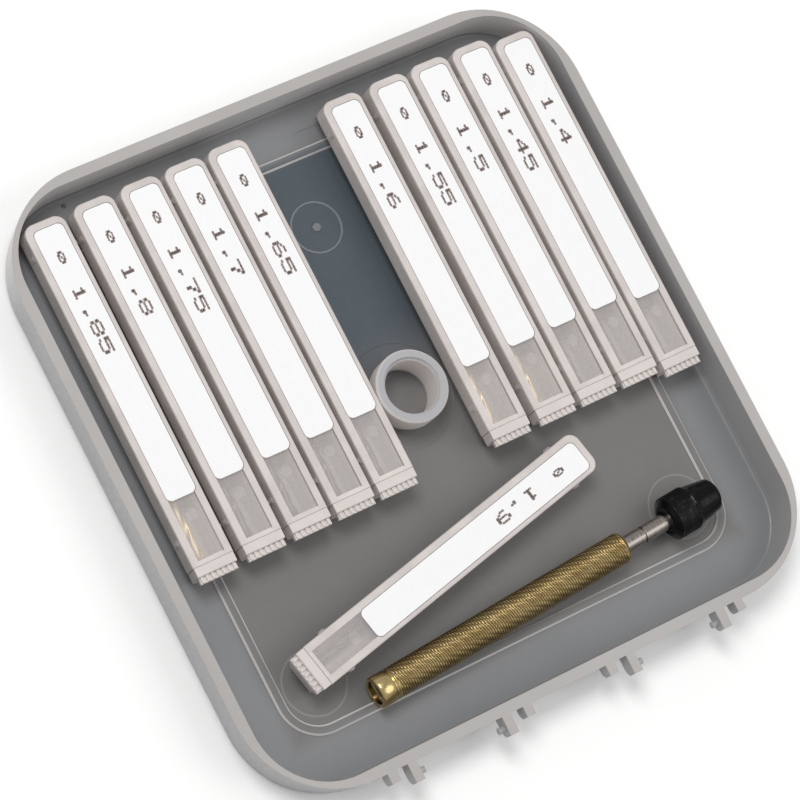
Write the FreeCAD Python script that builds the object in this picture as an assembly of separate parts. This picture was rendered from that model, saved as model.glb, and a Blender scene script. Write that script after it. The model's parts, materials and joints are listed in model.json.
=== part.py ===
import FreeCAD, Part
import math
import os
from FreeCAD import Placement, Rotation, Vector

os.makedirs("parts", exist_ok=True)

# A pin vise drill set: a shallow square tray with a hub ring, eleven slim drill boxes and a pin vise.
# Millimetres. +Z up, origin on the tray's underside at its centre, hinge lugs on the -Y edge.

# Tray
TRAY_X, TRAY_Y = 125.0, 127.0       # outside of the rim
RIM_Z = 9.6                         # underside to rim top
FLOOR_T = 1.2
RIM_T = 2.2                         # width of the flat rim
OUTER_R = 20.0                      # plan radius of the rim's outside
INNER_R = 15.0                      # plan radius of the rim's inside
OUTER_DRAFT = 0.9                   # how far the outside pulls in down to the base, each side
INNER_DRAFT = 0.3
BASE_FILLET = 0.9
FLOOR_FILLET = 0.8
BEAD_INSET, BEAD_T, BEAD_H, BEAD_R = 11.5, 2.0, 0.5, 8.4
BEAD_CHAMFER = 0.35
HUB_R, HUB_BORE_R, HUB_H = 7.3, 5.3, 7.7
HUB_HEAD_H, HUB_NECK_R = 4.7, 6.5   # the head holds a disc by its 15 mm hole, above a thinner neck
HUB_STEP_R, HUB_STEP_DEPTH = 5.8, 0.8
HUB_CHAMFER = 0.4
MARK_DEPTH = 0.15                   # moulding marks in the floor
HUB_MARK_R = 10.8                   # round mark about the hub
GATE = (0.7, 36.6)                  # x, y of the moulding gate
GATE_RING_R, GATE_RING_T, GATE_RING_H = 5.3, 0.35, 0.15
GATE_NUB_R, GATE_NUB_H = 0.8, 0.35
LONG_MARK = (10.9, 54.0, 12.2, 2.6) # centre x, y, length and width of the long mark at the far edge
PIN_HOLE = (-43.6, 59.3, 0.55, 0.9) # x, y, radius and depth of the small blind hole in the far left corner

# Hinge lugs on the -Y edge, mirrored about x = 0
LUG_T = 1.9
LONG_LUG_X, LONG_LUG_REACH = (14.2, 35.2), 3.8
SHORT_LUG_X, SHORT_LUG_REACH = (9.5, 39.6), 2.1
LUG_H = 3.4
PIVOT_R, PIVOT_L = 0.65, 1.3        # snap pivot stub on each long lug
PIVOT_DROP = 1.7                    # pivot axis below the rim

# Slim drill boxes, built along +Y with the mouth at y = 0
BOX_W, BOX_H, SLEEVE_L = 8.7, 6.9, 70.9
BEVEL_IN, BEVEL_H = 1.3, 2.7        # the lower part of the sides leans in
WALL_SIDE, WALL_TOP, WALL_END = 1.55, 0.8, 1.4
CORNER_R = 2.2                      # plan radius at the closed end
LONG_EDGE_R = 0.4
EAR_OUT, EAR_L, EAR_H = 0.4, 1.2, 1.5
EAR_FROM_MOUTH, EAR_FROM_END = 5.4, 6.0
EAR_TOP = 5.9
LABEL_W, LABEL_L, LABEL_T, LABEL_R = 6.2, 56.35, 0.10, 1.2
LABEL_X, LABEL_FROM_END = 0.25, 1.6 # the label sits a little to the right
PANEL_DEPTH = 0.12                  # shallow panel that the label sits in, and the clear window's recess
PANEL_EDGE = 0.12                   # panel edge to label edge
WINDOW_FROM_MOUTH = 0.8
CAP_W, CAP_H, CAP_L = 8.4, 6.6, 1.95
PLUG_L, PLUG_CLEAR = 1.0, 0.05
LIP_W, LIP_H, LIP_L = 8.0, 0.9, 1.3
LIP_DROP = 0.75                     # lip top below the cap top
RIB_COUNT, RIB_T, RIB_H = 7, 0.5, 0.3
MOULD_MARK_R, MOULD_MARK_X = 1.2, 0.3
CAP_FIT_GAP = 0.05                  # gap between the sleeve's mouth and the cap's shoulder

# Where the boxes lie: name, drill diameter, x of the axis, y of the closed end
ROW_BOXES = (
    ("d185", 1.85, -51.6, 56.8), ("d180", 1.80, -41.1, 56.9), ("d175", 1.75, -31.0, 56.9),
    ("d170", 1.70, -21.3, 56.9), ("d165", 1.65, -11.72, 57.0),
    ("d160", 1.60, 14.2, 57.0), ("d155", 1.55, 24.75, 57.0), ("d150", 1.50, 34.4, 57.0),
    ("d145", 1.45, 44.05, 56.9), ("d140", 1.40, 53.5, 55.4),
)
LOOSE_BOX = ("d190", 1.90)
LOOSE_END = (26.7, -24.6)           # middle of the loose box's closed end
LOOSE_ANGLE = 12.5                  # degrees from +X, from the cap towards the closed end
REST_GAP = 0.05                     # air between a box and what it rests on
ROW_Z = FLOOR_T + BEAD_H + REST_GAP
LOOSE_Z = FLOOR_T + REST_GAP
DRILL_L, DRILL_FLUTES, DRILL_POINT_DEG = 46.0, 26.0, 118.0
DRILL_END_GAP = 0.2                 # drill tip to the cap's plug
FLUTE_SHARE = 0.97                  # fluted radius over shank radius
DRILL_X, DRILL_YAW = -0.2, 1.4      # its point, and the degrees its shank swings left

# Pin vise, built along +X with its tail at x = 0
VISE_TAIL = (-33.7, -49.0, FLOOR_T + 3.62)
VISE_NOSE = (47.6, -42.8, FLOOR_T + 4.75)
HANDLE_R, HANDLE_L = 3.2, 58.8
TAIL_COLLAR_L, TAIL_GROOVE_L, TAIL_GROOVE_R = 3.2, 0.6, 2.85
HANDLE_CHAMFER = 0.5
TAIL_BORE_R, TAIL_BORE_L = 2.3, 7.0
TAIL_BAR_T, TAIL_BAR_L = 1.3, 4.0
SPINDLE_R, SPINDLE_IN = 1.7, 9.0   # how deep the spindle sits in the handle
SPINDLE_GROOVE_R, SPINDLE_GROOVE_X = 1.45, 63.4
NUT_X0 = 69.6
NUT_R, NUT_REAR_R, NUT_NOSE_R = 4.5, 3.3, 2.4
NUT_BEVEL, NUT_BAND = 0.9, 4.6
NUT_FRONT_CHAMFER = 0.7
RUN_CLEAR = 0.05                    # radial running clearance of spindle and collet in the nut
SPINDLE_TIP = 73.0
COLLET_BORE_R, COLLET_GAP = 0.95, 0.15
COLLET_SLIT = 0.3
COLLET_SHORT = 0.2                  # collet face behind the nut's face at rest

VISE_L = math.dist(VISE_TAIL, VISE_NOSE)


def box(x0, x1, y0, y1, z0, z1):
    return Part.makeBox(x1 - x0, y1 - y0, z1 - z0, Vector(x0, y0, z0))


def rounded_wire(wx, wy, r, z):
    """Closed rounded rectangle, centred on the z axis, at height z."""
    hx, hy = wx / 2, wy / 2
    diagonal = r * (1 - math.sqrt(0.5))
    edges = []
    for sx, sy, along_x in ((1, -1, False), (1, 1, True), (-1, 1, False), (-1, -1, True)):
        before = Vector(sx * (hx - r), sy * hy, z)
        after = Vector(sx * hx, sy * (hy - r), z)
        if along_x:
            before, after = after, before
        middle = Vector(sx * (hx - diagonal), sy * (hy - diagonal), z)
        edges.append(Part.Arc(before, middle, after).toShape())
    edges_with_sides = []
    for here, following in zip(edges, edges[1:] + edges[:1]):
        edges_with_sides.append(here)
        edges_with_sides.append(Part.makeLine(here.lastVertex().Point, following.firstVertex().Point))
    return Part.Wire(edges_with_sides)


def rounded_prism(wx, wy, r, z0, z1):
    face = Part.Face(rounded_wire(wx, wy, r, z0))
    return face.extrude(Vector(0, 0, z1 - z0))


def drafted_block(top, bottom, radius_top, radius_bottom, z_top, z_bottom):
    wires = [rounded_wire(*bottom, radius_bottom, z_bottom), rounded_wire(*top, radius_top, z_top)]
    return Part.makeLoft(wires, True, True)


def edges_at(shape, z):
    return [e for e in shape.Edges if all(abs(v.Point.z - z) < 1e-4 for v in e.Vertexes)]


def revolve_x(points):
    """Solid of revolution about the x axis; points are (x, radius)."""
    outline = [Vector(x, r, 0) for x, r in points]
    outline = [Vector(points[0][0], 0, 0)] + outline + [Vector(points[-1][0], 0, 0)]
    clean = [p for i, p in enumerate(outline) if i == 0 or p.distanceToPoint(outline[i - 1]) > 1e-6]
    face = Part.Face(Part.makePolygon(clean + [clean[0]]))
    return face.revolve(Vector(0, 0, 0), Vector(1, 0, 0), 360)


def lug(x, reach, pivot_side):
    """Hinge plate that stands out of the -Y edge, with a rounded lower corner."""
    y_root = -TRAY_Y / 2 + 0.6
    y_tip = -TRAY_Y / 2 - reach
    plate = box(x - LUG_T / 2, x + LUG_T / 2, y_tip, y_root, RIM_Z - LUG_H, RIM_Z)
    tip_low = [e for e in plate.Edges
               if all(abs(v.Point.y - y_tip) < 1e-4 and v.Point.z < RIM_Z - 1 for v in e.Vertexes)]
    plate = plate.makeFillet(min(1.6, reach * 0.7), tip_low)
    if pivot_side:
        start = Vector(x + pivot_side * LUG_T / 2, y_tip + PIVOT_DROP, RIM_Z - PIVOT_DROP)
        plate = plate.fuse(Part.makeCylinder(PIVOT_R, PIVOT_L, start, Vector(pivot_side, 0, 0)))
    return plate


def disc(r, z0, z1, x=0, y=0):
    return Part.makeCylinder(r, z1 - z0, Vector(x, y, z0))


def hub():
    """Hollow post that a disc snaps over."""
    top = FLOOR_T + HUB_H
    root = FLOOR_T - MARK_DEPTH - 0.1
    head = disc(HUB_R, top - HUB_HEAD_H, top)
    head = head.makeChamfer(HUB_CHAMFER, edges_at(head, top))
    post = head.fuse(disc(HUB_NECK_R, root, top - HUB_HEAD_H))
    return post.cut([disc(HUB_BORE_R, FLOOR_T, top), disc(HUB_STEP_R, top - HUB_STEP_DEPTH, top)])


def gate():
    """Nub left by the moulding gate, and the fine ring about it."""
    root = FLOOR_T - 0.3
    ring = disc(GATE_RING_R, root, FLOOR_T + GATE_RING_H, *GATE)
    ring = ring.cut(disc(GATE_RING_R - GATE_RING_T, root, FLOOR_T + GATE_RING_H, *GATE))
    return [ring, disc(GATE_NUB_R, root, FLOOR_T + GATE_NUB_H, *GATE)]


def tray():
    outside = drafted_block((TRAY_X, TRAY_Y), (TRAY_X - 2 * OUTER_DRAFT, TRAY_Y - 2 * OUTER_DRAFT),
                            OUTER_R, OUTER_R - OUTER_DRAFT, RIM_Z, 0)
    outside = outside.makeFillet(BASE_FILLET, edges_at(outside, 0))
    inner_x, inner_y = TRAY_X - 2 * RIM_T, TRAY_Y - 2 * RIM_T
    inside = drafted_block((inner_x, inner_y), (inner_x - 2 * INNER_DRAFT, inner_y - 2 * INNER_DRAFT),
                           INNER_R, INNER_R - INNER_DRAFT, RIM_Z, FLOOR_T)
    inside = inside.makeFillet(FLOOR_FILLET, edges_at(inside, FLOOR_T))
    body = outside.cut(inside)

    bead_x, bead_y = TRAY_X - 2 * BEAD_INSET, TRAY_Y - 2 * BEAD_INSET
    bead = rounded_prism(bead_x, bead_y, BEAD_R, FLOOR_T - 0.2, FLOOR_T + BEAD_H)
    bead = bead.cut(rounded_prism(bead_x - 2 * BEAD_T, bead_y - 2 * BEAD_T, BEAD_R - BEAD_T,
                                  FLOOR_T - 0.3, FLOOR_T + BEAD_H + 0.1))
    bead = bead.makeChamfer(BEAD_CHAMFER, edges_at(bead, FLOOR_T + BEAD_H))

    long_x, long_y, long_l, long_w = LONG_MARK
    long_mark = rounded_prism(long_l, long_w, long_w / 2 - 0.01, FLOOR_T - MARK_DEPTH, FLOOR_T)
    long_mark.translate(Vector(long_x, long_y, 0))
    hole_x, hole_y, hole_r, hole_depth = PIN_HOLE
    pin_hole = Part.makeCylinder(hole_r, hole_depth + 1, Vector(hole_x, hole_y, FLOOR_T - hole_depth))
    hub_mark = Part.makeCylinder(HUB_MARK_R, MARK_DEPTH, Vector(0, 0, FLOOR_T - MARK_DEPTH))
    body = body.cut([long_mark, pin_hole, hub_mark])
    body = body.fuse([bead, hub()] + gate())

    lugs = []
    for side in (-1, 1):
        lugs.append(lug(side * LONG_LUG_X[0], LONG_LUG_REACH, side))
        lugs.append(lug(side * LONG_LUG_X[1], LONG_LUG_REACH, -side))
        lugs.extend(lug(side * x, SHORT_LUG_REACH, 0) for x in SHORT_LUG_X)
    return body.fuse(lugs).removeSplitter()


def section(half, z0, z1, inset, knee):
    """Box section in the xz plane: upright sides that lean in by inset below the height knee."""
    right = [(half - inset, z0), (half, knee), (half, z1)]
    outline = right + [(-x, z) for x, z in reversed(right)]
    points = [Vector(x, 0, z) for x, z in outline]
    return Part.Face(Part.makePolygon(points + points[:1]))


def cavity_section(clear):
    """Inside section of the sleeve, smaller by clear all round."""
    return section(BOX_W / 2 - WALL_SIDE - clear, WALL_TOP + clear, BOX_H - WALL_TOP - clear,
                   BEVEL_IN * 0.6, BEVEL_H + clear)


def ear(side, y):
    """Small pointed nub on the sleeve's side."""
    x_root, x_tip = side * (BOX_W / 2 - 0.3), side * (BOX_W / 2 + EAR_OUT)
    points = [Vector(x_root, y - EAR_L, EAR_TOP - EAR_H), Vector(x_tip, y - 0.2, EAR_TOP - EAR_H),
              Vector(x_tip, y + 0.2, EAR_TOP - EAR_H), Vector(x_root, y + EAR_L, EAR_TOP - EAR_H)]
    return Part.Face(Part.makePolygon(points + points[:1])).extrude(Vector(0, 0, EAR_H))


def sleeve():
    """Closed-end tube with ears, its label panel and clear window on top and its mouth at y = 0."""
    body = section(BOX_W / 2, 0, BOX_H, BEVEL_IN, BEVEL_H).extrude(Vector(0, SLEEVE_L, 0))
    plan = rounded_prism(BOX_W, 2 * SLEEVE_L, CORNER_R, -1, BOX_H + 1)
    body = body.common(plan)
    body = body.makeFillet(LONG_EDGE_R, [e for e in edges_at(body, BOX_H)
                                         if max(v.Point.y for v in e.Vertexes) > 1])
    for side in (-1, 1):
        for y in (EAR_FROM_MOUTH, SLEEVE_L - EAR_FROM_END):
            body = body.fuse(ear(side, y))
    body = body.cut(cavity_section(0).extrude(Vector(0, SLEEVE_L - WALL_END, 0)))

    panel_z = BOX_H - PANEL_DEPTH
    panel_l = LABEL_L + 2 * PANEL_EDGE
    label_y = SLEEVE_L - LABEL_FROM_END - LABEL_L / 2
    panel = rounded_prism(LABEL_W + 2 * PANEL_EDGE, panel_l, LABEL_R, panel_z, BOX_H + 1)
    panel.translate(Vector(LABEL_X, label_y, 0))
    half = BOX_W / 2 - WALL_SIDE
    window = box(-half, half, WINDOW_FROM_MOUTH, label_y - LABEL_L / 2 + LABEL_R, panel_z, BOX_H + 1)
    mark_y = label_y - LABEL_L / 2 - 3.6
    mark = Part.makeCylinder(MOULD_MARK_R, 0.1, Vector(MOULD_MARK_X, mark_y, panel_z - 0.1))
    return body.cut([panel, window, mark]).removeSplitter()


def label():
    strip = rounded_prism(LABEL_W, LABEL_L, LABEL_R, BOX_H - PANEL_DEPTH, BOX_H - PANEL_DEPTH + LABEL_T)
    strip.translate(Vector(LABEL_X, SLEEVE_L - LABEL_FROM_END - LABEL_L / 2, 0))
    return strip


def cap():
    """End cap: shoulder block, short plug inside the mouth and a ribbed fingernail lip."""
    z0 = (BOX_H - CAP_H) / 2
    top = z0 + CAP_H
    block = section(CAP_W / 2, z0, top, BEVEL_IN, BEVEL_H).extrude(Vector(0, CAP_L - CAP_FIT_GAP, 0))
    block.translate(Vector(0, -CAP_L, 0))
    block = block.makeFillet(0.3, [e for e in edges_at(block, top)
                                   if max(v.Point.y for v in e.Vertexes) < -CAP_L / 2])
    plug = cavity_section(PLUG_CLEAR).extrude(Vector(0, PLUG_L + CAP_FIT_GAP + 0.2, 0))
    plug.translate(Vector(0, -CAP_FIT_GAP - 0.2, 0))
    lip_top = top - LIP_DROP
    y_lip = -CAP_L - LIP_L
    lip = box(-LIP_W / 2, LIP_W / 2, y_lip, -CAP_L + 0.1, lip_top - LIP_H, lip_top)
    ribs = []
    for i in range(RIB_COUNT):
        x0 = (i - (RIB_COUNT - 1) / 2) * LIP_W / RIB_COUNT - RIB_T / 2
        ribs.append(box(x0, x0 + RIB_T, y_lip + 0.15, -CAP_L + 0.1, lip_top - 0.1, lip_top + RIB_H))
    return block.fuse([plug, lip] + ribs).removeSplitter()


def drill(diameter):
    """Plain drill blank on the floor of a box: shank, thinner fluted length and a cone point near the cap."""
    r = diameter / 2
    cone = r / math.tan(math.radians(DRILL_POINT_DEG / 2))
    flute_r = r * FLUTE_SHARE
    profile = [(0, 0), (flute_r, cone), (flute_r, DRILL_FLUTES), (r, DRILL_FLUTES + 0.3),
               (r, DRILL_L), (0, DRILL_L)]
    outline = [Vector(x, y, 0) for x, y in profile + profile[:1]]
    body = Part.Face(Part.makePolygon(outline)).revolve(Vector(0, 0, 0), Vector(0, 1, 0), 360)
    tip = Vector(DRILL_X, PLUG_L + DRILL_END_GAP, WALL_TOP + r + REST_GAP)
    body.Placement = Placement(tip, Rotation(Vector(0, 0, 1), DRILL_YAW))
    return body


def rod(r, x0, x1):
    """Cylinder along the x axis."""
    return Part.makeCylinder(r, x1 - x0, Vector(x0, 0, 0), Vector(1, 0, 0))


def handle():
    groove_x = TAIL_COLLAR_L
    body = revolve_x([(0, HANDLE_R - HANDLE_CHAMFER), (HANDLE_CHAMFER, HANDLE_R), (groove_x, HANDLE_R),
                      (groove_x, TAIL_GROOVE_R), (groove_x + TAIL_GROOVE_L, TAIL_GROOVE_R),
                      (groove_x + TAIL_GROOVE_L, HANDLE_R), (HANDLE_L - HANDLE_CHAMFER, HANDLE_R),
                      (HANDLE_L, HANDLE_R - HANDLE_CHAMFER)])
    body = body.cut(rod(TAIL_BORE_R, 0, TAIL_BORE_L))
    return body.cut(rod(SPINDLE_R, HANDLE_L - SPINDLE_IN, HANDLE_L))


def tail_bar():
    """Cross bar in the open tail, cut to the bore."""
    bar = box(0.5, 0.5 + TAIL_BAR_L, -TAIL_BORE_R, TAIL_BORE_R, -TAIL_BAR_T / 2, TAIL_BAR_T / 2)
    return bar.common(rod(TAIL_BORE_R, 0, TAIL_BORE_L))


def spindle():
    x0 = HANDLE_L - SPINDLE_IN
    groove = SPINDLE_GROOVE_X
    return revolve_x([(x0, SPINDLE_R), (groove, SPINDLE_R), (groove, SPINDLE_GROOVE_R),
                      (groove + 0.5, SPINDLE_GROOVE_R), (groove + 0.5, SPINDLE_R),
                      (SPINDLE_TIP - 0.3, SPINDLE_R), (SPINDLE_TIP, SPINDLE_R - 0.3)])


def chuck_nut():
    band_x = NUT_X0 + NUT_BEVEL
    nose_x = band_x + NUT_BAND
    body = revolve_x([(NUT_X0, NUT_REAR_R), (band_x, NUT_R), (nose_x, NUT_R), (nose_x + 0.3, NUT_R - 0.25),
                      (VISE_L - NUT_FRONT_CHAMFER, NUT_NOSE_R + 0.9), (VISE_L, NUT_NOSE_R)])
    return body.cut(rod(SPINDLE_R + RUN_CLEAR, NUT_X0 - 1, VISE_L + 1))


def collet():
    """Split collet behind the nut's nose."""
    x0 = SPINDLE_TIP + COLLET_GAP
    x1 = VISE_L - COLLET_SHORT
    body = revolve_x([(x0, SPINDLE_R), (x1 - 0.35, SPINDLE_R), (x1, SPINDLE_R - 0.35)])
    body = body.cut(rod(COLLET_BORE_R, x0 + 1.0, x1))
    for half_y, half_z in ((COLLET_SLIT / 2, 3), (3, COLLET_SLIT / 2)):
        body = body.cut(box(x0 + 2.5, x1 + 1, -half_y, half_y, -half_z, half_z))
    return body


def save(name, shape, placement=None):
    placed = shape.copy()
    if placement:
        placed.Placement = placement.multiply(placed.Placement)
    placed.exportStep("parts/" + name + ".step")
    print(name, placed.isValid(), len(placed.Solids), round(placed.Volume, 3))


def save_box(name, diameter, placement):
    save(name + "_sleeve", sleeve(), placement)
    save(name + "_cap", cap(), placement)
    save(name + "_label", label(), placement)
    save(name + "_drill", drill(diameter), placement)


save("tray", tray())
for name, diameter, x, y_end in ROW_BOXES:
    save_box(name, diameter, Placement(Vector(x, y_end - SLEEVE_L, ROW_Z), Rotation()))

loose_turn = Rotation(Vector(0, 0, 1), LOOSE_ANGLE - 90)
loose_mouth = Vector(*LOOSE_END, LOOSE_Z) - loose_turn.multVec(Vector(0, SLEEVE_L, 0))
save_box(*LOOSE_BOX, Placement(loose_mouth, loose_turn))

vise_axis = Vector(*VISE_NOSE) - Vector(*VISE_TAIL)
vise_place = Placement(Vector(*VISE_TAIL), Rotation(Vector(1, 0, 0), vise_axis))
for name, shape in (("vise_handle", handle()), ("vise_tail_bar", tail_bar()), ("vise_spindle", spindle()),
                    ("vise_chuck_nut", chuck_nut()), ("vise_collet", collet())):
    save(name, shape, vise_place)
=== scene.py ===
import json
import math

import bmesh
import bpy
from mathutils import Matrix, Quaternion, Vector


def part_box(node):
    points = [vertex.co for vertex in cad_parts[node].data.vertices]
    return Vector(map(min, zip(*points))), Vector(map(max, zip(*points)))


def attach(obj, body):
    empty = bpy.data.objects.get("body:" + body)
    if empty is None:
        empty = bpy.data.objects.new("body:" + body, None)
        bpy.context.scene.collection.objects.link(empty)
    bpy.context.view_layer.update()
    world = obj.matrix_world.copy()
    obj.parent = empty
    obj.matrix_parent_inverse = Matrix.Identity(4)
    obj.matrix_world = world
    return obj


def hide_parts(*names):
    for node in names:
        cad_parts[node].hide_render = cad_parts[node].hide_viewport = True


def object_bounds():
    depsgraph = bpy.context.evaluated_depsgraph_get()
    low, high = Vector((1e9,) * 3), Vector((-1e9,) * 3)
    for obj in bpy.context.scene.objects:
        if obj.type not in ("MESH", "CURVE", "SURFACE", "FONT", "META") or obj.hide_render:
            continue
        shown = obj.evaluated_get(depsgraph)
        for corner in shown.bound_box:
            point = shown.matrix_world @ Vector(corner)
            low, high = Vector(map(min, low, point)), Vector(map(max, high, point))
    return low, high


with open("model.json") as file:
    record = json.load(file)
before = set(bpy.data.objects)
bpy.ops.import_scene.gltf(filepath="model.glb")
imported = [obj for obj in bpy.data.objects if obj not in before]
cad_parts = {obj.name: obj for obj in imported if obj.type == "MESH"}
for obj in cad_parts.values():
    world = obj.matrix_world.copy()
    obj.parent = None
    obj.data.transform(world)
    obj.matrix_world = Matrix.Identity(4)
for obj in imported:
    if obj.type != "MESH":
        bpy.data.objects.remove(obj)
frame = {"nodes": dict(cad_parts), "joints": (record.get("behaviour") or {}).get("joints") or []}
cad_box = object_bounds()
joints = {joint["name"]: joint for joint in frame["joints"]}

MM = 0.001
UP = Vector((0, 0, 1))
TRAY_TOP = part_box("tray")[1].z
FLOOR_TOP = 1.2 * MM                        # upper face of the tray's floor
GATE = (0.7 * MM, 36.6 * MM)                # moulding gate in the floor
EJECTOR = (42.0 * MM, -42.0 * MM)           # marks of the ejector pins, mirrored about x = 0
EJECTOR_R = 6.4 * MM

# Box name, the size printed on its label, and whether its drill is titanium-gold coated
BOXES = (
    ("d185", "1,85", True), ("d180", "1,8", False), ("d175", "1,75", False), ("d170", "1,7", False),
    ("d165", "1,65", False), ("d160", "1,6", True), ("d155", "1,55", True), ("d150", "1,5", False),
    ("d145", "1,45", False), ("d140", "1,4", False), ("d190", "1,9", False),
)


# ---------------------------------------------------------------- frames

class Axes:
    """A local frame: origin, long axis, side axis and up, with a node's span along the long axis."""

    def __init__(self, node, origin, along):
        self.along = Vector(along).normalized()
        self.side = self.along.cross(UP).normalized()
        self.up = self.side.cross(self.along)
        corners = [v.co for v in frame["nodes"][node].data.vertices]
        reach = [(c - origin).dot(self.along) for c in corners]
        self.length = max(reach) - min(reach)
        self.origin = origin + self.along * min(reach)

    def matrix(self):
        """Local x runs along, y against side, z up."""
        turn = Matrix((self.along, -self.side, self.up)).transposed().to_4x4()
        return Matrix.Translation(self.origin) @ turn


def box_axes(name, node):
    """Frame of one drill box for a node in it: along runs from the closed end to the cap."""
    along = Vector(joints[name + "_cap_pull"]["axis"])
    low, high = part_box(node)
    centre = (low + high) / 2
    return Axes(node, Vector((centre.x, centre.y, low.z)), along)


def vise_axes(node):
    turn = joints["chuck_turn"]
    return Axes(node, Vector(turn["pos_m"]), turn["axis"])


# ---------------------------------------------------------------- node helpers

class Shader:
    """Wires procedural nodes into one Principled material."""

    def __init__(self, name, **constants):
        self.material = bpy.data.materials.new(name)
        self.material.use_nodes = True
        self.tree = self.material.node_tree
        self.surface = self.tree.nodes["Principled BSDF"]
        for socket, value in constants.items():
            self.surface.inputs[socket.replace("_", " ")].default_value = value
        self.coords = self.tree.nodes.new("ShaderNodeTexCoord").outputs["Object"]

    def put(self, source, target):
        """Links a socket, or sets a plain value."""
        if isinstance(source, bpy.types.NodeSocket):
            self.tree.links.new(source, target)
        else:
            target.default_value = source

    def scaled(self, scale):
        mapping = self.tree.nodes.new("ShaderNodeMapping")
        mapping.inputs["Scale"].default_value = scale
        self.put(self.coords, mapping.inputs["Vector"])
        return mapping.outputs["Vector"]

    def noise(self, scale, detail=4.0, stretch=None, roughness=0.55):
        texture = self.tree.nodes.new("ShaderNodeTexNoise")
        self.put(self.scaled(stretch) if stretch else self.coords, texture.inputs["Vector"])
        texture.inputs["Scale"].default_value = scale
        texture.inputs["Detail"].default_value = detail
        texture.inputs["Roughness"].default_value = roughness
        return texture.outputs["Fac"]

    def axis(self, letter, source=None):
        split = self.tree.nodes.new("ShaderNodeSeparateXYZ")
        self.put(source or self.coords, split.inputs[0])
        return split.outputs[letter]

    def normal(self):
        return self.tree.nodes.new("ShaderNodeNewGeometry").outputs["Normal"]

    def math(self, operation, a, b=0.0, clamp=False):
        unit = self.tree.nodes.new("ShaderNodeMath")
        unit.operation = operation
        unit.use_clamp = clamp
        self.put(a, unit.inputs[0])
        self.put(b, unit.inputs[1])
        return unit.outputs[0]

    def both(self, a, b):
        """Product: where two masks overlap."""
        return self.math("MULTIPLY", a, b)

    def size_of(self, value):
        return self.math("ABSOLUTE", value)

    def span(self, value, low, high, out_low=0.0, out_high=1.0, smooth=True):
        unit = self.tree.nodes.new("ShaderNodeMapRange")
        unit.interpolation_type = "SMOOTHSTEP" if smooth else "LINEAR"
        limits = {"From Min": low, "From Max": high, "To Min": out_low, "To Max": out_high}
        for socket, number in limits.items():
            unit.inputs[socket].default_value = number
        self.put(value, unit.inputs["Value"])
        return unit.outputs["Result"]

    def mix(self, factor, a, b):
        unit = self.tree.nodes.new("ShaderNodeMix")
        unit.data_type = "RGBA"
        self.put(factor, unit.inputs["Factor"])
        for colour, name in ((a, "A"), (b, "B")):
            socket = next(s for s in unit.inputs if s.name == name and s.type == "RGBA")
            self.put((*colour, 1.0) if isinstance(colour, tuple) else colour, socket)
        return next(s for s in unit.outputs if s.type == "RGBA")

    def distance(self, x, y, centre):
        """Plan distance from a centre given in metres."""
        dx, dy = self.math("SUBTRACT", x, centre[0]), self.math("SUBTRACT", y, centre[1])
        return self.math("SQRT", self.math("ADD", self.both(dx, dx), self.both(dy, dy)))

    def bump(self, height, distance, strength=1.0):
        unit = self.tree.nodes.new("ShaderNodeBump")
        unit.inputs["Strength"].default_value = strength
        unit.inputs["Distance"].default_value = distance
        self.put(height, unit.inputs["Height"])
        self.put(unit.outputs["Normal"], self.surface.inputs["Normal"])

    def attribute(self, name):
        unit = self.tree.nodes.new("ShaderNodeAttribute")
        unit.attribute_name = name
        return unit.outputs["Fac"]

    def set(self, socket, source):
        self.put(source, self.surface.inputs[socket])


# ---------------------------------------------------------------- materials

BEAD_X, BEAD_Y = 53.0 * MM, 54.0 * MM       # half sizes of the area that holds the bead, 2 mm to spare
MARGIN_START = 49.0 * MM                    # the floor grows paler from here out to BEAD_X and BEAD_Y
HUB_POST_R = 7.6 * MM
GATE_R = 5.4 * MM
SMALL_EDGE_TOP = 1.9 * MM                   # the bead's and the gate's edges lie below this height


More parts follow.
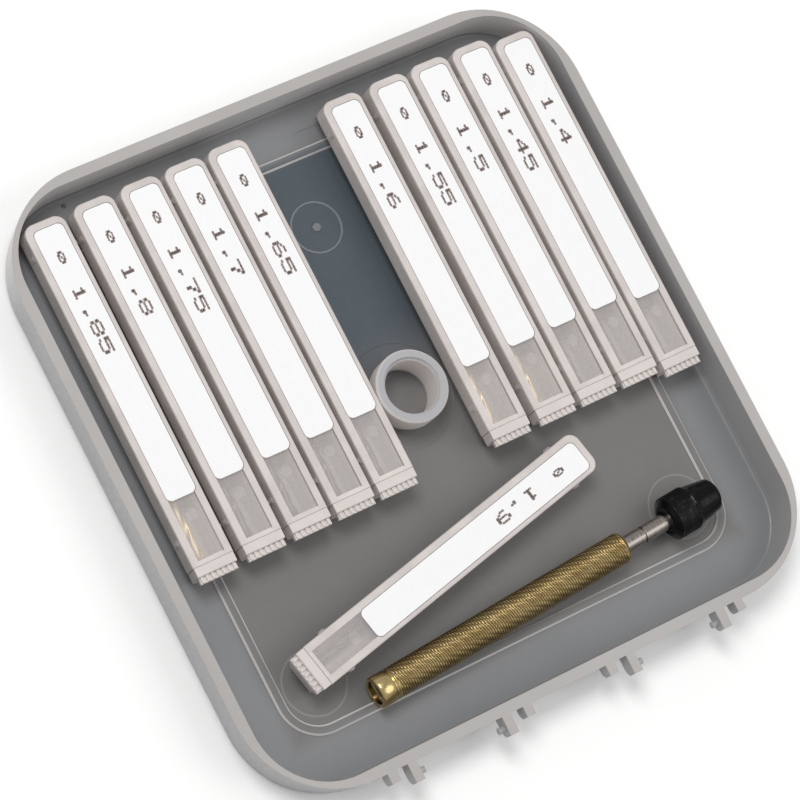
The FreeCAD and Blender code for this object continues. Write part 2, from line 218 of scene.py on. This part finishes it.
def tray_plastic():
    """Smoky polypropylene: dark floor, paler in the wall, the rim and the hub; painted shade on the floor
    between the rows, painted light on the far wall, and painted highlights on the hub post's sides and the
    floor's small edges.
    """
    shader = Shader("tray_smoky_polypropylene", IOR=1.49, Specular_IOR_Level=0.45)
    height = shader.axis("Z")
    across, back = shader.axis("X"), shader.axis("Y")
    facing_up = shader.size_of(shader.axis("Z", shader.normal()))
    cloud = shader.noise(45.0, 3.0)
    warm = shader.mix(cloud, (0.150, 0.146, 0.142), (0.192, 0.186, 0.181))
    # painted shade: the darker, cooler floor colour laid between the rows behind the hub
    painted_shade_cool = shader.mix(cloud, (0.058, 0.075, 0.090), (0.082, 0.102, 0.118))
    margin = shader.mix(cloud, (0.195, 0.199, 0.206), (0.240, 0.243, 0.249))
    wall = shader.mix(cloud, (0.33, 0.325, 0.33), (0.39, 0.385, 0.388))
    rim = shader.mix(cloud, (0.38, 0.36, 0.345), (0.46, 0.435, 0.42))

    # The floor: painted shade, darker and cooler, between the rows behind the hub; warm elsewhere, pale
    # outside the bead
    between_rows = shader.both(shader.span(across, -14.0 * MM, -9.0 * MM),
                               shader.span(across, 19.0 * MM, 9.0 * MM))
    behind_hub = shader.both(shader.span(back, -2.0 * MM, 16.0 * MM),
                             shader.span(back, 53.0 * MM, 50.0 * MM))
    floor = shader.mix(shader.both(between_rows, behind_hub), warm, painted_shade_cool)
    outside_bead = shader.math("MAXIMUM", shader.span(shader.size_of(across), MARGIN_START, BEAD_X),
                               shader.span(shader.size_of(back), MARGIN_START, BEAD_Y))
    floor = shader.mix(outside_bead, floor, margin)

    # The wall and the rim; painted light makes the far wall paler
    wall = shader.mix(shader.span(back, 40.0 * MM, 58.0 * MM), wall, (0.60, 0.59, 0.59))
    climb = shader.math("MAXIMUM", shader.span(height, FLOOR_TOP + 0.3 * MM, TRAY_TOP - 3.0 * MM),
                        shader.span(facing_up, 0.55, 0.25))
    body = shader.mix(climb, floor, wall)
    body = shader.mix(shader.span(height, TRAY_TOP - 0.5 * MM, TRAY_TOP - 0.1 * MM), body, rim)

    # The hub post: painted highlight on its side faces, which are paler than its top
    from_hub = shader.distance(across, back, (0.0, 0.0))
    hub = shader.both(shader.span(from_hub, 9.0 * MM, HUB_POST_R),
                      shader.span(height, FLOOR_TOP + 0.1 * MM, FLOOR_TOP + 1.0 * MM))
    post = shader.mix(shader.span(facing_up, 0.5, 0.9), (0.78, 0.73, 0.70), (0.40, 0.40, 0.415))
    body = shader.mix(hub, body, post)

    # Painted highlights on the floor's small edges, the bead's and the gate's; and the ejector pins' circles
    from_gate = shader.distance(across, back, GATE)
    gate_ring_highlight = shader.both(shader.span(from_gate, GATE_R + 0.1 * MM, GATE_R),
                       shader.span(height, FLOOR_TOP + 0.05 * MM, FLOOR_TOP + 0.1 * MM))
    painted_edge_highlight = shader.both(shader.span(facing_up, 0.95, 0.80),
                             shader.span(height, SMALL_EDGE_TOP + 0.3 * MM, SMALL_EDGE_TOP))
    painted_edge_highlight = shader.math("MAXIMUM", painted_edge_highlight, shader.both(gate_ring_highlight, 0.22))
    within_bead = shader.both(shader.span(shader.size_of(across), BEAD_X, BEAD_X - 1.0 * MM),
                              shader.span(shader.size_of(back), BEAD_Y, BEAD_Y - 1.0 * MM))
    within_bead = shader.both(within_bead, shader.span(from_hub, 7.0 * MM, HUB_POST_R))
    painted_edge_highlight = shader.both(painted_edge_highlight, within_bead)
    from_pin = shader.distance(shader.size_of(across), back, EJECTOR)
    off_line = shader.size_of(shader.math("SUBTRACT", from_pin, EJECTOR_R))
    off_floor = shader.size_of(shader.math("SUBTRACT", height, FLOOR_TOP))
    pin_line = shader.both(shader.span(off_line, 0.25 * MM, 0.10 * MM),
                           shader.span(off_floor, 0.2 * MM, 0.1 * MM))
    body = shader.mix(shader.both(pin_line, 0.35), body, wall)
    # painted highlight: the pale colour laid on the bead's and the gate's edges
    shader.set("Base Color", shader.mix(shader.both(painted_edge_highlight, 0.75), body, (0.72, 0.69, 0.68)))
    scuffs = shader.noise(900.0, 6.0)
    shader.set("Roughness", shader.span(scuffs, 0.3, 0.7, 0.30, 0.44))
    shader.bump(shader.noise(2600.0, 2.0), 0.02 * MM, 0.25)
    return shader.material


def sleeve_plastic(name, top, body_colour=(0.62, 0.57, 0.545)):
    """Natural polypropylene tube: milky rails and walls, with painted shade darkening the walls towards the
    bottom, and a clearer panel in the top.
    """
    shader = Shader(name, IOR=1.49, Specular_IOR_Level=0.5)
    height = shader.axis("Z")
    facing = shader.axis("Z", shader.normal())
    cloud = shader.noise(160.0, 3.0)
    pale = tuple(min(1.0, c * 1.14) for c in body_colour)
    body = shader.mix(shader.span(cloud, 0.3, 0.7), body_colour, pale)
    # painted shade: the walls grow darker towards the bottom
    body = shader.mix(shader.span(height, top - 3.4 * MM, top - 4.6 * MM), body, (0.50, 0.46, 0.44))
    rail = shader.span(height, top - 0.10 * MM, top - 0.04 * MM)
    upward = shader.span(facing, 0.93, 0.99)
    downward = shader.span(facing, -0.6, -0.9)
    panel = shader.math("MULTIPLY", upward, shader.math("SUBTRACT", 1.0, rail))
    mark = shader.span(height, top - 0.16 * MM, top - 0.20 * MM)
    window = shader.mix(mark, (0.68, 0.63, 0.61), (0.82, 0.77, 0.75))
    shader.set("Base Color", shader.mix(panel, body, window))
    alpha = shader.math("SUBTRACT", 0.90, shader.math("MULTIPLY", panel, 0.62))
    alpha = shader.math("SUBTRACT", alpha, shader.math("MULTIPLY", downward, 0.75), clamp=True)
    shader.set("Alpha", alpha)
    shader.set("Roughness", shader.span(shader.noise(1200.0, 5.0), 0.3, 0.7, 0.26, 0.40))
    shader.bump(shader.noise(1500.0, 2.0), 0.02 * MM, 0.25)
    return shader.material


def cap_plastic():
    shader = Shader("cap_polypropylene", IOR=1.49, Specular_IOR_Level=0.5)
    cloud = shader.noise(220.0, 4.0)
    shader.set("Base Color", shader.mix(cloud, (0.58, 0.53, 0.51), (0.70, 0.65, 0.62)))
    shader.set("Roughness", shader.span(shader.noise(1400.0, 5.0), 0.3, 0.7, 0.26, 0.40))
    shader.bump(shader.noise(1500.0, 2.0), 0.02 * MM, 0.25)
    return shader.material


def label_paper():
    shader = Shader("label_white_paper", Specular_IOR_Level=0.25)
    fibre = shader.noise(1400.0, 6.0, stretch=(1.0, 0.35, 1.0))
    shader.set("Base Color", shader.mix(fibre, (0.84, 0.84, 0.845), (0.90, 0.90, 0.90)))
    shader.set("Roughness", shader.span(fibre, 0.3, 0.7, 0.55, 0.72))
    shader.bump(fibre, 0.01 * MM, 0.2)
    return shader.material


def label_ink():
    shader = Shader("label_ink", Specular_IOR_Level=0.2)
    rubbed = shader.noise(3200.0, 4.0)
    faded = shader.span(rubbed, 0.35, 0.70)
    shader.set("Base Color", shader.mix(faded, (0.17, 0.13, 0.12), (0.40, 0.34, 0.32)))
    shader.set("Roughness", shader.span(rubbed, 0.2, 0.8, 0.55, 0.75))
    return shader.material


def drill_metal(name, low, high):
    """Ground steel with fine lines around the shank."""
    shader = Shader(name, Metallic=0.6)
    ground = shader.noise(900.0, 5.0, stretch=(0.4, 4.0, 0.4))
    shader.set("Base Color", shader.mix(ground, low, high))
    shader.set("Roughness", shader.span(ground, 0.3, 0.7, 0.34, 0.48))
    shader.bump(ground, 0.01 * MM, 0.2)
    return shader.material


def brass():
    """Lacquered brass; the mesh's cut attribute is 1 at the bottom of the knurl's grooves and in the bore,
    where the dark colour is painted shade.
    """
    shader = Shader("handle_brass", Metallic=1.0)
    tarnish = shader.noise(260.0, 5.0)
    bright = shader.mix(shader.span(tarnish, 0.35, 0.70), (0.62, 0.48, 0.23), (0.44, 0.32, 0.14))
    # painted shade: the knurl's groove bottoms and the bore are painted dark
    shader.set("Base Color", shader.mix(shader.attribute("cut"), bright, (0.085, 0.052, 0.018)))
    scratch = shader.noise(2200.0, 4.0)
    polish = shader.math("MULTIPLY", shader.math("SUBTRACT", 1.0, shader.attribute("knurled")), 0.16)
    shader.set("Roughness", shader.math("SUBTRACT", shader.span(scratch, 0.3, 0.7, 0.30, 0.46), polish))
    shader.bump(scratch, 0.01 * MM, 0.3)
    return shader.material


def black_oxide():
    """Blackened steel with crests worn grey; the mesh's cut attribute is 0 on the knurl's crests."""
    shader = Shader("chuck_black_oxide", Metallic=0.75)
    worn = shader.span(shader.noise(700.0, 5.0), 0.52, 0.74)
    crest = shader.math("SUBTRACT", 1.0, shader.attribute("cut"))
    crest = shader.math("MULTIPLY", shader.attribute("knurled"), shader.span(crest, 0.55, 0.95))
    greyed = shader.both(worn, shader.span(crest, 0.0, 1.0, 0.06, 0.50))
    shader.set("Base Color", shader.mix(greyed, (0.005, 0.005, 0.006), (0.20, 0.20, 0.20)))
    shader.set("Roughness", shader.span(shader.noise(1500.0, 4.0), 0.3, 0.7, 0.20, 0.36))
    shader.bump(shader.noise(1500.0, 4.0), 0.01 * MM, 0.25)
    return shader.material


def turned_steel():
    shader = Shader("spindle_turned_steel", Metallic=1.0)
    lines = shader.noise(600.0, 4.0, stretch=(6.0, 0.5, 0.5))
    shader.set("Base Color", shader.mix(lines, (0.16, 0.135, 0.12), (0.50, 0.46, 0.43)))
    shader.set("Roughness", shader.span(lines, 0.3, 0.7, 0.20, 0.38))
    shader.bump(lines, 0.02 * MM, 0.35)
    return shader.material


def studio_floor():
    shader = Shader("studio_floor", Roughness=0.85)
    shader.set("Base Color", shader.mix(shader.noise(12.0, 2.0), (0.96, 0.96, 0.955), (0.98, 0.98, 0.975)))
    return shader.material


def wear(obj, material):
    obj.data.materials.clear()
    obj.data.materials.append(material)


# ---------------------------------------------------------------- mesh helpers

def mesh_piece(name, points, faces, material, body, attributes=None, smooth=True):
    mesh = bpy.data.meshes.new(name)
    mesh.from_pydata(points, [], faces)
    for key, values in (attributes or {}).items():
        mesh.attributes.new(key, "FLOAT", "POINT").data.foreach_set("value", values)
    mesh.validate()
    mesh.polygons.foreach_set("use_smooth", [smooth] * len(mesh.polygons))
    piece = bpy.data.objects.new(name, mesh)
    bpy.context.scene.collection.objects.link(piece)
    wear(piece, material)
    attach(piece, body)
    return piece


def lathe(name, outline, place, sides, material, body, cut=None):
    """Solid of revolution about local x. The outline is a list of (x, radius) from one axis point to the
    other, or closed where it never meets the axis. cut(x, turn, radius) gives (depth, share cut, knurled)."""
    points, cuts, flags, faces, rows = [], [], [], [], []
    for x, radius in outline:
        row = []
        for i in range(1 if radius < 1e-9 else sides):
            turn = 2 * math.pi * i / sides
            depth, share, knurled = cut(x, turn, radius) if cut else (0.0, 0.0, 0.0)
            r = radius - depth
            row.append(len(points))
            points.append(place @ Vector((x, r * math.cos(turn), r * math.sin(turn))))
            cuts.append(share)
            flags.append(knurled)
        rows.append(row)
    closed = len(rows[0]) > 1
    pairs = list(zip(rows, rows[1:])) + ([(rows[-1], rows[0])] if closed else [])
    for near, far in pairs:
        for i in range(sides):
            j = (i + 1) % sides
            corners = [near[i % len(near)], far[i % len(far)], far[j % len(far)], near[j % len(near)]]
            face = [c for k, c in enumerate(corners) if c not in corners[:k]]
            faces.append(face)
    return mesh_piece(name, points, faces, material, body, {"cut": cuts, "knurled": flags})


def steps(start, stop, pitch):
    count = max(1, round(abs(stop - start) / pitch))
    return [start + (stop - start) * i / count for i in range(count + 1)]


def groove(phase):
    """Cut depth share of a V groove: 1 at whole phases, 0 halfway."""
    return abs(2 * (phase - math.floor(phase)) - 1) ** 1.1


def rounded_ends(x0, x1, radius, bevel):
    """Three points that round a cylinder's end, from x0 on the face to x1 on the side."""
    sign = 1 if x1 > x0 else -1
    return [(x0 + sign * bevel * (1 - math.cos(a)), radius - bevel * (1 - math.sin(a)))
            for a in (0.0, math.pi / 6, math.pi / 3, math.pi / 2)]


# ---------------------------------------------------------------- pin vise

HANDLE_R = 3.2 * MM
HANDLE_BORE_R = 2.3 * MM
HANDLE_BORE_L = 7.0 * MM
COLLAR_L = 3.2 * MM
COLLAR_GROOVE_L = 0.6 * MM
COLLAR_GROOVE_R = 2.85 * MM
SPINDLE_R = 1.7 * MM
SPINDLE_IN = 9.0 * MM
RING_PITCH = 0.50 * MM              # knurl lines along the handle
RING_LEAN = -0.16                   # how far a line leans along the handle per unit around it
CROSS_STARTS = 16                   # crossing cuts counted around the handle
KNURL_DEPTH = 0.20 * MM
KNURL_STEP = 0.08 * MM
CROSS_PITCH = 4.4 * RING_PITCH      # crossing cuts repeat at this distance along the handle
CROSS_DEPTH = 0.75                  # the crossing cuts' depth in knurl depths
KNURL_FADE = 0.4 * MM               # the knurl runs out over this length
HANDLE_SIDES = 132


def handle_cut(first, last):
    def cut(x, turn, radius):
        # the bore counts as fully cut, so the brass paints it dark as painted shade
        if radius < HANDLE_BORE_R + 1e-6:
            return 0.0, 1.0, 0.0
        if not first <= x <= last or radius < HANDLE_R - 1e-6:
            return 0.0, 0.0, 0.0
        around = turn * HANDLE_R
        rings = groove((x + RING_LEAN * around) / RING_PITCH)
        cross = groove(CROSS_STARTS * turn / (2 * math.pi) - x / CROSS_PITCH)
        share = max(rings, CROSS_DEPTH * cross)
        fade = min(1.0, (x - first) / KNURL_FADE, (last - x) / KNURL_FADE)
        return KNURL_DEPTH * share * fade, share * fade, 1.0
    return cut


def handle(material):
    axes = vise_axes("vise_handle")
    length = axes.length
    first = COLLAR_L + COLLAR_GROOVE_L
    bevel = 0.5 * MM
    outline = [(HANDLE_BORE_L, 0.0), (HANDLE_BORE_L, HANDLE_BORE_R), (0.25 * MM, HANDLE_BORE_R),
               (0.0, HANDLE_BORE_R + 0.2 * MM)]
    outline += rounded_ends(0.0, 1.0, HANDLE_R, bevel)
    outline += [(COLLAR_L - 0.1 * MM, HANDLE_R), (COLLAR_L, HANDLE_R - 0.1 * MM), (COLLAR_L, COLLAR_GROOVE_R),
                (first, COLLAR_GROOVE_R), (first, HANDLE_R - 0.1 * MM)]
    outline += [(x, HANDLE_R) for x in steps(first + 0.1 * MM, length - bevel, KNURL_STEP)]
    outline += rounded_ends(length, 0.0, HANDLE_R, bevel)[::-1]
    outline += [(length, SPINDLE_R), (length - SPINDLE_IN, SPINDLE_R), (length - SPINDLE_IN, 0.0)]
    piece = lathe("vise_handle_knurled", outline, axes.matrix(), HANDLE_SIDES, material,
                  "vise", handle_cut(first, length - bevel))
    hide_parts("vise_handle")


NUT_R = 4.5 * MM
NUT_REAR_R = 3.3 * MM
NUT_NOSE_R = 2.4 * MM
NUT_BORE_R = 1.75 * MM
NUT_BEVEL_L = 0.9 * MM
NUT_BAND_L = 4.6 * MM
NUT_KNURL_STARTS = 54
NUT_KNURL_DEPTH = 0.16 * MM
NUT_KNURL_LEAN = math.radians(30)
NUT_SIDES = 216


def nut_cut(x, turn, radius):
    if not NUT_BEVEL_L <= x <= NUT_BEVEL_L + NUT_BAND_L or radius < NUT_R - 1e-6:
        return 0.0, 0.0, 0.0
    lean = x / (2 * math.pi * NUT_R) * NUT_KNURL_STARTS * math.tan(NUT_KNURL_LEAN)
    share = max(groove(NUT_KNURL_STARTS * turn / (2 * math.pi) + lean),
                groove(NUT_KNURL_STARTS * turn / (2 * math.pi) - lean))
    fade = min(1.0, (x - NUT_BEVEL_L) / (0.3 * MM), (NUT_BEVEL_L + NUT_BAND_L - x) / (0.3 * MM))
    return NUT_KNURL_DEPTH * share * fade, share * fade, 1.0


def chuck_nut(material):
    axes = vise_axes("vise_chuck_nut")
    length = axes.length
    band_end = NUT_BEVEL_L + NUT_BAND_L
    outline = [(0.0, NUT_BORE_R), (0.0, NUT_REAR_R - 0.15 * MM), (0.1 * MM, NUT_REAR_R)]
    outline += [(NUT_BEVEL_L - 0.15 * MM, NUT_R - 0.15 * MM)]
    outline += [(x, NUT_R) for x in steps(NUT_BEVEL_L, band_end, 0.1 * MM)]
    taper_start = band_end + 0.3 * MM
    nose_r = NUT_NOSE_R + 0.9 * MM
    start_r = NUT_R - 0.25 * MM
    taper_end = length - 0.7 * MM
    outline += [(taper_start, start_r)]
    for share in (0.15, 0.3, 0.45, 0.6, 0.75, 0.9, 1.0):
        outline.append((taper_start + (taper_end - taper_start) * share,
                        start_r + (nose_r - start_r) * share))
    outline += [(length - 0.3 * MM, NUT_NOSE_R + 0.45 * MM), (length - 0.08 * MM, NUT_NOSE_R + 0.15 * MM),
                (length, NUT_NOSE_R), (length, NUT_BORE_R + 0.15 * MM), (length - 0.15 * MM, NUT_BORE_R)]
    piece = lathe("vise_chuck_nut_knurled", outline, axes.matrix(), NUT_SIDES, material,
                  "chuck", nut_cut)
    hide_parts("vise_chuck_nut")


# ---------------------------------------------------------------- twist drills

FLUTE_L = 26.0 * MM
FLUTE_TWIST = math.radians(22)       # helix angle
WEB_SHARE = 0.30
DRILL_SIDES = 28
POINT_HALF_ANGLE = math.radians(59)
LAND_EDGE = 0.72                     # the land ends where the section's cosine falls to this
FLUTE_FLOOR = WEB_SHARE + 0.25       # radius left at the bottom of a flute, in radii
MESH_SHARE = 0.985                   # the fluted drill stays just inside its CAD blank


def drill_section(radius, turn, fluted):
    """Radius of the two-flute section at an angle from the land's middle."""
    lobe = abs(math.cos(turn))
    cut = max(0.0, min(1.0, (LAND_EDGE - lobe) / 0.5))
    return radius * (1 - fluted * (1 - FLUTE_FLOOR) * math.sin(cut * math.pi / 2))


def twist_drill(name, place, radius, length, material, body):
    """Drill along local x with its point at x = 0."""
    cone = radius / math.tan(POINT_HALF_ANGLE)
    pitch = 2 * math.pi * radius / math.tan(FLUTE_TWIST)
    stations = [0.02 * MM] + steps(cone, FLUTE_L + 1.5 * MM, 0.35 * MM) + [length - 0.2 * MM, length]
    points = [place @ Vector((0, 0, 0))]
    rows = []
    for x in stations:
        shrink = min(1.0, x / cone) if x < cone else 1.0
        if x == length:
            shrink = 0.8
        fluted = max(0.0, min(1.0, (FLUTE_L + 1.0 * MM - x) / (1.5 * MM)))
        twist = 2 * math.pi * x / pitch
        row = []
        for i in range(DRILL_SIDES):
            turn = 2 * math.pi * i / DRILL_SIDES
            r = drill_section(radius, turn, fluted) * shrink
            row.append(len(points))
            points.append(place @ Vector((x, r * math.cos(turn + twist), r * math.sin(turn + twist))))
        rows.append(row)
    end = len(points)
    points.append(place @ Vector((length, 0, 0)))
    faces = []
    for i in range(DRILL_SIDES):
        j = (i + 1) % DRILL_SIDES
        faces.append([0, rows[0][i], rows[0][j]])
        faces.extend([near[i], far[i], far[j], near[j]] for near, far in zip(rows, rows[1:]))
        faces.append([rows[-1][i], end, rows[-1][j]])
    return mesh_piece(name, points, faces, material, body)


def drill(name, material):
    """The box's drill on its CAD blank: from the blank's point to the middle of its shank end."""
    node = name + "_drill"
    axes = box_axes(name, node)
    corners = [v.co for v in frame["nodes"][node].data.vertices]
    radius = (max(c.z for c in corners) - min(c.z for c in corners)) / 2
    reach = [(c - axes.origin).dot(axes.along) for c in corners]
    point = corners[reach.index(max(reach))]
    shank = [c for c, r in zip(corners, reach) if r < 0.1 * MM]
    across = [c.dot(axes.side) for c in shank]
    end = (point + axes.side * ((min(across) + max(across)) / 2 - point.dot(axes.side))
           - axes.along * (max(reach) - sum(r for r in reach if r < 0.1 * MM) / len(shank)))
    inward = (end - point).normalized()
    turn = Matrix((inward, UP.cross(inward), UP)).transposed().to_4x4()
    piece = twist_drill(name + "_twist_drill", Matrix.Translation(point) @ turn, radius * MESH_SHARE,
                        (end - point).length, material, name + "_box")
    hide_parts(node)


# ---------------------------------------------------------------- printed numerals

# 5 x 7 dot glyphs, rows from the top
GLYPHS = {
    "0": (".###.", "#...#", "#...#", "#...#", "#...#", "#...#", ".###."),
    "1": ("..#..", ".##..", "..#..", "..#..", "..#..", "..#..", ".###."),
    "4": ("...#.", "..##.", ".#.#.", "#..#.", "#####", "...#.", "...#."),
    "5": ("#####", "#....", "####.", "....#", "....#", "#...#", ".###."),
    "6": ("..##.", ".#...", "#....", "####.", "#...#", "#...#", ".###."),
    "7": ("#####", "....#", "...#.", "...#.", "..#..", "..#..", "..#.."),
    "8": (".###.", "#...#", "#...#", ".###.", "#...#", "#...#", ".###."),
    "9": (".###.", "#...#", "#...#", ".####", "....#", "...#.", ".##.."),
    ",": (".....", ".....", ".....", ".....", ".....", "..##.", "..#.."),
    "o": (".....", ".###.", "#..##", "#.#.#", "##..#", ".###.", "....."),
    " ": (".....",) * 7,
}
TEXT_START = 5.3 * MM                # from the label's closed end
TEXT_ADVANCE = 3.65 * MM
GLYPH_W, GLYPH_H = 2.5 * MM, 2.0 * MM
DOT_SHARE = 0.66                     # half width of a dot in dot pitches
SIGN_SCALE = 0.8                     # the diameter sign is smaller than the numerals
DOT_TALL = 1.25                      # a dot's half height is DOT_SHARE times this, in row pitches
INK_GAP, INK_T = 0.002 * MM, 0.02 * MM
DOT_SIDES = 6
GLYPH_UP_SIGN = -1                   # glyph tops point to +X in the two rows


def numerals(name, text, material):
    node = name + "_label"
    axes = box_axes(name, node)
    label_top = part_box(node)[1].z
    along = axes.along
    glyph_up = along.cross(UP) * GLYPH_UP_SIGN
    mesh = bmesh.new()
    for place, character in enumerate("o " + text):
        scale = SIGN_SCALE if character == "o" else 1.0
        step_x, step_y = GLYPH_W / 4 * scale, GLYPH_H / 6 * scale
        for row, pattern in enumerate(GLYPHS[character]):
            for column, dot in enumerate(pattern):
                if dot == "#":
                    centre = (axes.origin + along * (TEXT_START + place * TEXT_ADVANCE + column * step_x)
                              + glyph_up * ((3 - row) * step_y))
                    rim = []
                    for i in range(DOT_SIDES):
                        turn = 2 * math.pi * (i + 0.5) / DOT_SIDES
                        spot = (centre + along * (math.cos(turn) * DOT_SHARE * step_x)
                                + glyph_up * (math.sin(turn) * DOT_SHARE * step_y * DOT_TALL))
                        rim.append((spot.x, spot.y))
                    bottom = [mesh.verts.new((x, y, label_top + INK_GAP)) for x, y in rim]
                    top = [mesh.verts.new((x, y, label_top + INK_T)) for x, y in rim]
                    mesh.faces.new(bottom[::-1])
                    mesh.faces.new(top)
                    for i in range(DOT_SIDES):
                        j = (i + 1) % DOT_SIDES
                        mesh.faces.new((bottom[i], bottom[j], top[j], top[i]))
    bmesh.ops.recalc_face_normals(mesh, faces=mesh.faces)
    data = bpy.data.meshes.new(name + "_numerals")
    mesh.to_mesh(data)
    mesh.free()
    piece = bpy.data.objects.new(name + "_numerals", data)
    bpy.context.scene.collection.objects.link(piece)
    wear(piece, material)
    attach(piece, name + "_box")


# ---------------------------------------------------------------- stage

CAMERA_DISTANCE = 0.7492
CAMERA_AZIMUTH = math.radians(-164.07)
CAMERA_ELEVATION = math.radians(65.19)
CAMERA_ROLL = math.radians(48.2)
CAMERA_LENS = 176.6
CAMERA_AIM = Vector((-0.0003, -0.0005, FLOOR_TOP))


def camera():
    data = bpy.data.cameras.new("camera")
    data.lens = CAMERA_LENS
    data.sensor_width = 36.0
    data.clip_end = 20.0
    cam = bpy.data.objects.new("camera", data)
    bpy.context.scene.collection.objects.link(cam)
    flat = math.cos(CAMERA_ELEVATION)
    outward = Vector((flat * math.cos(CAMERA_AZIMUTH), flat * math.sin(CAMERA_AZIMUTH),
                      math.sin(CAMERA_ELEVATION)))
    cam.location = CAMERA_AIM + outward * CAMERA_DISTANCE
    look = (-outward).to_track_quat("-Z", "Y")
    cam.rotation_mode = "QUATERNION"
    cam.rotation_quaternion = look @ Quaternion((0, 0, 1), CAMERA_ROLL)
    bpy.context.scene.camera = cam


def area_light(name, place, size, power, target=Vector((0, 0, 0))):
    data = bpy.data.lights.new(name, "AREA")
    data.shape = "DISK"
    data.size = size
    data.energy = power
    lamp = bpy.data.objects.new(name, data)
    bpy.context.scene.collection.objects.link(lamp)
    lamp.location = place
    lamp.rotation_mode = "QUATERNION"
    lamp.rotation_quaternion = (target - Vector(place)).to_track_quat("-Z", "Y")


def stage():
    mesh = bpy.data.meshes.new("studio_floor")
    reach = 3.0
    corners = [(-reach, -reach, 0), (reach, -reach, 0), (reach, reach, 0), (-reach, reach, 0)]
    mesh.from_pydata(corners, [], [(0, 1, 2, 3)])
    floor = bpy.data.objects.new("studio_floor", mesh)
    bpy.context.scene.collection.objects.link(floor)
    floor.location.z = cad_box[0][2] - 0.05 * MM
    wear(floor, studio_floor())
    world = bpy.data.worlds.new("studio")
    world.use_nodes = True
    world.node_tree.nodes["Background"].inputs["Color"].default_value = (1.0, 1.0, 1.0, 1.0)
    world.node_tree.nodes["Background"].inputs["Strength"].default_value = 0.53
    bpy.context.scene.world = world
    area_light("key", (-0.25, 0.38, 1.0), 0.5, 5.6)
    area_light("fill", (0.6, -0.4, 0.8), 0.8, 2.5)
    bpy.context.scene.view_settings.view_transform = "Standard"


# ---------------------------------------------------------------- build

camera()
stage()

wear(frame["nodes"]["tray"], tray_plastic())
row_plastic = sleeve_plastic("sleeve_polypropylene_row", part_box("d185_sleeve")[1].z)
loose_plastic = sleeve_plastic("sleeve_polypropylene_loose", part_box("d190_sleeve")[1].z)
caps = cap_plastic()
paper = label_paper()
ink = label_ink()
gold = drill_metal("drill_titanium_gold", (0.80, 0.60, 0.30), (0.95, 0.80, 0.50))
steel = drill_metal("drill_bright_steel", (0.06, 0.055, 0.055), (0.22, 0.21, 0.205))
brass_metal = brass()
steel_turned = turned_steel()

for box_name, size_text, coated in BOXES:
    wear(frame["nodes"][box_name + "_sleeve"], loose_plastic if box_name == "d190" else row_plastic)
    wear(frame["nodes"][box_name + "_cap"], caps)
    wear(frame["nodes"][box_name + "_label"], paper)
    drill(box_name, gold if coated else steel)
    numerals(box_name, size_text, ink)

wear(frame["nodes"]["vise_tail_bar"], brass_metal)
wear(frame["nodes"]["vise_spindle"], steel_turned)
wear(frame["nodes"]["vise_collet"], steel_turned)
handle(brass_metal)
chuck_nut(black_oxide())
